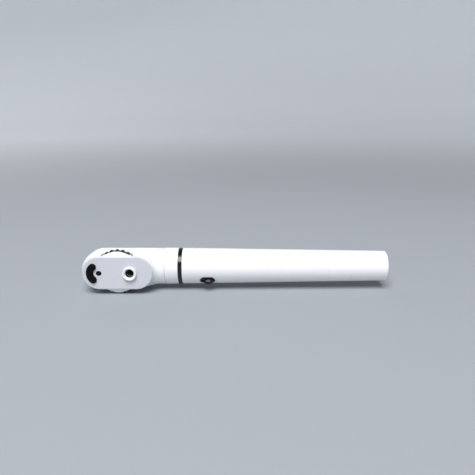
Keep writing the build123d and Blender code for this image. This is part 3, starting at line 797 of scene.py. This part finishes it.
def flat_on_switch(outline, height, sizes):
    """An outline laid flat over the switch."""
    return [on_switch(x, across, height, sizes) for x, across in outline]


def curved_on_switch(outline, crown, drop, sizes):
    """An outline laid over the switch on a cylinder of a crown radius, moved in by a drop."""
    ring = []
    for x, across in outline:
        height = math.sqrt(crown**2 - across**2) - drop
        ring.append(on_switch(x, across, height, sizes))
    return ring


# ------------------------------------------------------------------ operators


class OPHTHALMOSCOPE_OT_head(bpy.types.Operator):
    """Make the front and rear casings of the head"""

    bl_idname = "ophthalmoscope.head"
    bl_label = "Head casings"

    def execute(self, context):
        sizes = context.scene.ophthalmoscope_sizes
        half_seam = sizes.seam / 2
        reach = 60.0
        wheel_gap = 0.35
        sight_r = 2.3
        window_r = 1.4
        outside = head_solid("front_shell", 0.0, COLLAR_X - sizes.seam, sizes)
        rear = copy_of(outside, "rear_shell")
        behind = block(
            "behind",
            (COLLAR_X - reach, -SPLIT_Y - half_seam, -reach),
            (COLLAR_X + reach, reach, reach),
        )
        pocket = post("pocket", WHEEL.x, 0, WHEEL_R + wheel_gap, SPLIT_Y - 1, WHEEL_FRONT_Y + 0.4, 160)
        sight = post("sight", SIGHT_X, 0, sight_r, 0, FACE_Y)
        window = post("window", WINDOW.x, 0, window_r, 0, FACE_Y)
        carve(outside, [behind, pocket, sight, window])
        settle(outside, "head", "front_housing")

        before = block(
            "before",
            (COLLAR_X - reach, -reach, -reach),
            (COLLAR_X + reach, -SPLIT_Y + half_seam, reach),
        )
        cavity = head_solid("cavity", sizes.wall, CAVITY_END_X, sizes, 60, 120)
        bore_r = 8.6
        bore = lathe("bore", cylinder(bore_r, COLLAR_X - 6, COLLAR_X + 2), round_x())
        glass = middle("patient_bezel")
        port_r = high("patient_bezel").z + 0.03
        port = post("port", glass.x, 0, port_r, -2 * HEAD_R, -5.0, 96)
        dial = middle("aperture_wheel")
        dial_r = high("aperture_wheel").z + 0.3
        half_slot = 0.85
        slot_profile = cylinder(dial_r, dial.x - half_slot, dial.x + half_slot)
        dial_slot = lathe("dial_slot", slot_profile, round_x(dial.y))
        carve(rear, [before, cavity, bore, port, dial_slot])

        screw_r = 1.8
        recess_r = 1.95
        far_x = low("housing_screws").x + screw_r
        near_x = high("housing_screws").x - screw_r
        side_z = high("housing_screws").z - screw_r
        recesses = []
        for x, z, top in ((far_x, 0, 0.7), (near_x, side_z, 4.2), (near_x, -side_z, 4.2)):
            recesses.append(post("head_recess", x, z, recess_r, -2 * HEAD_R, -top, 48))
        carve(rear, recesses)
        settle(rear, "head", "rear_housing")
        return {"FINISHED"}


class OPHTHALMOSCOPE_OT_face_plate(bpy.types.Operator):
    """Make the oval face plate with its rounded rim"""

    bl_idname = "ophthalmoscope.face_plate"
    bl_label = "Face plate"

    def execute(self, context):
        rim = context.scene.ophthalmoscope_sizes.plate_rim
        side_top = FACE_Y - rim * 0.75
        seat_r = 3.3
        profile = [(0.0, SEAT_Y + 0.02), (0.0, side_top)]
        for step in range(1, 9):
            turn = math.pi / 2 * step / 8
            profile.append((rim * (1 - math.cos(turn)), side_top + (FACE_Y - side_top) * math.sin(turn)))
        rings = []
        for inset, height in profile:
            outline = stadium(FAR_CENTRE_X, NEAR_CENTRE_X, PLATE_R - inset)
            rings.append([(x, -height, z) for x, z in outline])
        plate = solid("face_plate_skin", rings)
        eyepiece = post("eyepiece_hole", SIGHT_X, 0, seat_r, 0, 2 * FACE_Y, 96)
        half_window = (high("display_window") - low("display_window")) / 2
        straight = half_window.x - half_window.z
        outline = stadium(WINDOW.x - straight, WINDOW.x + straight, half_window.z, 48)
        opening = solid("window_hole", [[(x, -height, z) for x, z in outline] for height in (0, 2 * FACE_Y)])
        carve(plate, [eyepiece, opening])
        settle(plate, "head", "face_plate")
        return {"FINISHED"}


class OPHTHALMOSCOPE_OT_brow_rest(bpy.types.Operator):
    """Make the soft bean-shaped brow rest"""

    bl_idname = "ophthalmoscope.brow_rest"
    bl_label = "Brow rest"

    def execute(self, context):
        half_band = 2.1
        radius = 4.9
        half_angle = math.radians(51)
        centre_x = low("brow_rest").x + radius + half_band
        top = -low("brow_rest").y
        shoulder = 0.85
        crown_inset = 1.5
        profile = [(0.0, FACE_Y - 0.3), (0.0, top - shoulder)]
        for step in range(1, 9):
            turn = math.pi / 2 * step / 8
            height = top - shoulder + shoulder * math.sin(turn)
            profile.append((crown_inset * (1 - math.cos(turn)), height))
        rings = []
        for inset, height in profile:
            outline = bean(centre_x, radius, half_angle, half_band - inset)
            rings.append([(x, -height, z) for x, z in outline])
        settle(solid("brow_pad", rings), "head", "brow_rest", angle=60)
        return {"FINISHED"}


class OPHTHALMOSCOPE_OT_eyepiece(bpy.types.Operator):
    """Make the raised eyepiece ring with its stepped funnel"""

    bl_idname = "ophthalmoscope.eyepiece"
    bl_label = "Eyepiece ring"

    def execute(self, context):
        top = -low("eyepiece_ring").y
        outer = (high("eyepiece_ring").x - low("eyepiece_ring").x) / 2
        bore = 2.35
        funnel_foot = 2.72
        funnel_r = 3.0
        seat_r = 3.25
        edge = 0.38
        profile = [(bore, SEAT_Y), (bore, top - 1.15), (funnel_foot, top - 0.9), (funnel_r, top)]
        profile += [(outer, top), (outer, FACE_Y - 0.02), (seat_r, FACE_Y - 0.04), (seat_r, SEAT_Y)]
        ring = lathe("eyepiece", rounded(profile, edge), round_y(SIGHT_X), loop=True)
        settle(ring, "head", "eyepiece_ring")

        inner = bore - 0.06
        outer = bore + 0.01
        profile = [(inner, SEAT_Y), (inner, top - 1.0), (outer, top - 1.05), (outer, SEAT_Y)]
        tube = lathe("eyepiece_lining", profile, round_y(SIGHT_X), loop=True)
        smooth(tube)
        tube.data.materials.append(finish_for("inner_black"))
        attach(tube, "head")
        return {"FINISHED"}


class OPHTHALMOSCOPE_OT_lens_wheel(bpy.types.Operator):
    """Make the lens wheel with its scalloped rim and lens holes"""

    bl_idname = "ophthalmoscope.lens_wheel"
    bl_label = "Lens wheel"

    def execute(self, context):
        sizes = context.scene.ophthalmoscope_sizes
        edge = 0.35
        bevel = edge * 0.3
        profile = [(edge, WHEEL_BACK_Y), (bevel, WHEEL_BACK_Y + bevel), (0.0, WHEEL_BACK_Y + edge)]
        profile += [(0.0, WHEEL_FRONT_Y - edge), (bevel, WHEEL_FRONT_Y - bevel), (edge, WHEEL_FRONT_Y)]
        count = sizes.lobes * 16
        lobe_power = 1.6
        rings = []
        for inset, height in profile:
            ring = []
            for step in range(count):
                turn = 2 * math.pi * step / count
                hollow = (0.5 - 0.5 * math.cos(sizes.lobes * turn)) ** lobe_power
                reach = WHEEL_R - inset - sizes.lobe_depth * hollow
                ring.append((WHEEL.x + reach * math.cos(turn), -height, reach * math.sin(turn)))
            rings.append(ring)
        wheel = solid("scalloped_wheel", rings)
        axle_r = 1.55
        lens_r = 1.45
        lens_count = 12
        circle = SIGHT_X - WHEEL.x
        holes = [post("axle_hole", WHEEL.x, 0, axle_r, 0, 2 * FACE_Y)]
        for step in range(lens_count):
            x, z = polar(WHEEL.x, circle, 2 * math.pi * step / lens_count)
            holes.append(post("lens_hole", x, z, lens_r, 0, 2 * FACE_Y, 40))
        carve(wheel, holes)
        settle(wheel, "lens_wheel", "lens_wheel", angle=40)
        return {"FINISHED"}


class OPHTHALMOSCOPE_OT_neck(bpy.types.Operator):
    """Make the neck collar and the black trim ring"""

    bl_idname = "ophthalmoscope.neck"
    bl_label = "Neck collar and trim ring"

    def execute(self, context):
        edge = 0.22
        collar_bore = 8.6
        end_x = RING_X - 0.06
        profile = [(collar_bore, COLLAR_X), (HEAD_R - 0.03, COLLAR_X)]
        profile += [(HEAD_R - 0.1, end_x), (collar_bore, end_x)]
        collar = lathe("collar", rounded(profile, edge), round_x(), loop=True)
        settle(collar, "head", "neck_collar")

        inner = high("handle_sleeve").z
        profile = [(inner, RING_X), (RING_R, RING_X), (RING_R, RING_END_X), (inner, RING_END_X)]
        ring = lathe("black_ring", rounded(profile, edge), round_x(), loop=True)
        settle(ring, "handle", "trim_ring")
        return {"FINISHED"}


class OPHTHALMOSCOPE_OT_handle(bpy.types.Operator):
    """Make the tapered handle with its domed end and the slot under the switch"""

    bl_idname = "ophthalmoscope.handle"
    bl_label = "Handle"

    def execute(self, context):
        sizes = context.scene.ophthalmoscope_sizes
        tip = sizes.handle_tip
        bore = high("end_contact").z
        front = RING_END_X + 0.04
        sleeve_end = high("handle_sleeve").x
        sleeve_r = high("handle_sleeve").z
        edge = 0.2
        shoulder = 1.0
        dome = 0.35
        flat_r = 4.0
        profile = [(0, high("end_contact").x), (bore, high("end_contact").x), (bore, sleeve_end)]
        profile += [(sleeve_r, sleeve_end), (sleeve_r, front)]
        profile += rounded([(sleeve_r, front), (RING_R, front), (tip + 0.05, -4.5)], edge)[1:]
        for step in range(10):
            turn = math.pi / 2 * step / 10
            profile.append((tip - shoulder * (1 - math.cos(turn)), -dome - shoulder * (1 - math.sin(turn))))
        edge_r = tip - shoulder
        for step in range(8):
            t = step / 7
            profile.append((edge_r + (flat_r - edge_r) * t, -dome * (1 - t) ** 2))
        profile.append((0, 0))
        handle = lathe("handle_body", profile, round_x(), count=192)

        base = middle("switch_bezel").x
        cuts = []
        for name, half_length, radius, heights, count in (
            ("recess", SWITCH_HALF_LENGTH, SWITCH_R + 0.02, (9.4, 14.0), 96),
            ("opening", 2.4, 1.5, (5.0, 12.0), 48),
        ):
            outline = stadium(base - half_length, base + half_length, radius, count)
            cuts.append(solid(name, [flat_on_switch(outline, height, sizes) for height in heights]))
        carve(handle, cuts)
        settle(handle, "handle", "handle_tube")
        return {"FINISHED"}


class OPHTHALMOSCOPE_OT_switch(bpy.types.Operator):
    """Make the oval switch base and its sliding knob"""

    bl_idname = "ophthalmoscope.switch"
    bl_label = "Switch"

    def execute(self, context):
        sizes = context.scene.ophthalmoscope_sizes
        base = middle("switch_bezel").x
        crown = 10.86
        underside = 9.55
        slot_half = 2.2
        slot_r = 1.05
        count = 120
        first = base - SWITCH_HALF_LENGTH
        last = base + SWITCH_HALF_LENGTH
        rings = [flat_on_switch(stadium(first, last, SWITCH_R, count), underside, sizes)]
        for inset, drop in ((0, 0.42), (0.04, 0.2), (0.14, 0.07), (0.3, 0.0)):
            outline = stadium(first, last, SWITCH_R - inset, count)
            rings.append(curved_on_switch(outline, crown, drop, sizes))
        for grow, drop in ((0.26, 0.0), (0.1, 0.05), (0.0, 0.2)):
            outline = stadium(base - slot_half, base + slot_half, slot_r + grow, count)
            rings.append(curved_on_switch(outline, crown, drop, sizes))
        outline = stadium(base - slot_half, base + slot_half, slot_r, count)
        rings.append(flat_on_switch(outline, underside, sizes))
        settle(solid("switch_base", rings, loop=True), "handle", "switch_bezel")

        knob = middle("switch_slider").x
        width = 1.62
        straight = (high("switch_slider").x - low("switch_slider").x) / 2 - width
        stem_foot = 9.0
        stem_r = 0.88
        foot = 10.96
        top = 12.6
        shoulder = 0.75
        stem = stadium(knob - 0.3, knob + 0.7, stem_r, 96)
        rings = [flat_on_switch(stem, stem_foot, sizes), flat_on_switch(stem, foot, sizes)]
        outline = stadium(knob - straight, knob + straight, width, 96)
        rings.append(flat_on_switch(outline, foot, sizes))
        rings.append(flat_on_switch(outline, top - shoulder, sizes))
        for step in range(1, 8):
            turn = math.pi / 2 * step / 7
            inset = shoulder * (1 - math.cos(turn))
            outline = stadium(knob - straight, knob + straight, width - inset, 96)
            rings.append(flat_on_switch(outline, top - shoulder * (1 - math.sin(turn)), sizes))
        slider = solid("switch_knob", rings)
        ridge_r = 0.3
        ridges = []
        for offset in (-0.9, 0.0, 0.9):
            rings = []
            for inset, lift in ((0, -0.3), (0, 0.12), (0.08, 0.22), (0.2, 0.27)):
                outline = [(knob + offset + x, z) for z, x in stadium(-0.7, 0.7, ridge_r - inset, 40)]
                rings.append(flat_on_switch(outline, top + lift, sizes))
            ridges.append(solid("ridge", rings))
        carve(slider, ridges, "UNION")
        settle(slider, "switch", "switch_slider")
        return {"FINISHED"}


class OPHTHALMOSCOPE_OT_inner_pieces(bpy.types.Operator):
    """Give every piece that keeps its own shape the finish of its material slot"""

    bl_idname = "ophthalmoscope.inner_pieces"
    bl_label = "Inner pieces"

    def execute(self, context):
        for name, node in frame["nodes"].items():
            if node.hide_render:
                continue
            node.data.materials.clear()
            node.data.materials.append(finish_for(SLOT_OF[name]))
        return {"FINISHED"}


class OPHTHALMOSCOPE_OT_stage(bpy.types.Operator):
    """Lay the floor and set the lights and the camera"""

    bl_idname = "ophthalmoscope.stage"
    bl_label = "Stage"

    def execute(self, context):
        floor_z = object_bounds()[0].z / MM
        surface = [(0, 0), (1600, 0), (1900, 60), (2200, 260), (2400, 620), (2450, 1100)]
        underside = [(0, -40), (2500, -40), (2500, 1100)]
        bend = 300

        def place(radius, turn, height):
            return (RING_X + radius * math.cos(turn), radius * math.sin(turn), floor_z + height)

        floor = lathe("floor", underside + rounded(surface[::-1], bend, 8), place, count=96)
        smooth(floor, 40)
        floor.data.materials.append(floor_finish("floor", context.scene.ophthalmoscope_colours.floor))
        floor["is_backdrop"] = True

        aim = Vector((RING_X + 34.9, 0, 0)) * MM
        for name, offset, size, watts in (
            ("key", (-0.15, -1.0, 1.73), 1.2, 54.0),
            ("far side", (-0.9, 1.5, 1.2), 1.0, 4.0),
        ):
            light = bpy.data.objects.new(name, bpy.data.lights.new(name, "AREA"))
            light.data.energy = watts
            light.data.size = size
            light.location = aim + Vector(offset)
            light.rotation_mode = "QUATERNION"
            light.rotation_quaternion = (aim - light.location).to_track_quat("-Z", "Y")
            context.collection.objects.link(light)
            light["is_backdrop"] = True

        world = bpy.data.worlds.new("studio")
        world.use_nodes = True
        sky = world.node_tree.nodes["Background"].inputs
        sky["Color"].default_value = (0.80, 0.86, 1.0, 1)
        sky["Strength"].default_value = 0.15
        context.scene.world = world
        context.scene.view_settings.view_transform = "Standard"

        camera = bpy.data.objects.new("camera", bpy.data.cameras.new("camera"))
        distance = 0.303
        above = math.radians(18.0)
        tilt = math.radians(14.8)
        camera.data.lens = 38.05
        camera.data.clip_start = 0.01
        camera.location = (aim.x, -distance * math.cos(above), distance * math.sin(above))
        camera.rotation_euler = (math.pi / 2 - tilt, 0, 0)
        context.collection.objects.link(camera)
        context.scene.camera = camera
        return {"FINISHED"}


STEPS = (
    OPHTHALMOSCOPE_OT_head,
    OPHTHALMOSCOPE_OT_face_plate,
    OPHTHALMOSCOPE_OT_brow_rest,
    OPHTHALMOSCOPE_OT_eyepiece,
    OPHTHALMOSCOPE_OT_lens_wheel,
    OPHTHALMOSCOPE_OT_neck,
    OPHTHALMOSCOPE_OT_handle,
    OPHTHALMOSCOPE_OT_switch,
    OPHTHALMOSCOPE_OT_inner_pieces,
    OPHTHALMOSCOPE_OT_stage,
)


class OPHTHALMOSCOPE_PT_sidebar(bpy.types.Panel):
    """Lists the steps that build the ophthalmoscope"""

    bl_idname = "OPHTHALMOSCOPE_PT_sidebar"
    bl_label = "Ophthalmoscope"
    bl_space_type = "VIEW_3D"
    bl_region_type = "UI"
    bl_category = "Ophthalmoscope"

    def draw(self, context):
        for step in STEPS:
            self.layout.operator(step.bl_idname)
        for group in (context.scene.ophthalmoscope_sizes, context.scene.ophthalmoscope_colours):
            column = self.layout.column()
            for name in group.bl_rna.properties.keys():
                if name not in ("rna_type", "name"):
                    column.prop(group, name)


CLASSES = (OphthalmoscopeSizes, OphthalmoscopeColours, *STEPS, OPHTHALMOSCOPE_PT_sidebar)


def register():
    for cls in CLASSES:
        bpy.utils.register_class(cls)
    bpy.types.Scene.ophthalmoscope_sizes = bpy.props.PointerProperty(type=OphthalmoscopeSizes)
    bpy.types.Scene.ophthalmoscope_colours = bpy.props.PointerProperty(type=OphthalmoscopeColours)


def unregister():
    del bpy.types.Scene.ophthalmoscope_colours
    del bpy.types.Scene.ophthalmoscope_sizes
    for cls in reversed(CLASSES):
        bpy.utils.unregister_class(cls)


def main():
    register()
    for step in STEPS:
        group, name = step.bl_idname.split(".")
        getattr(getattr(bpy.ops, group), name)()


if __name__ == "__main__":
    main()
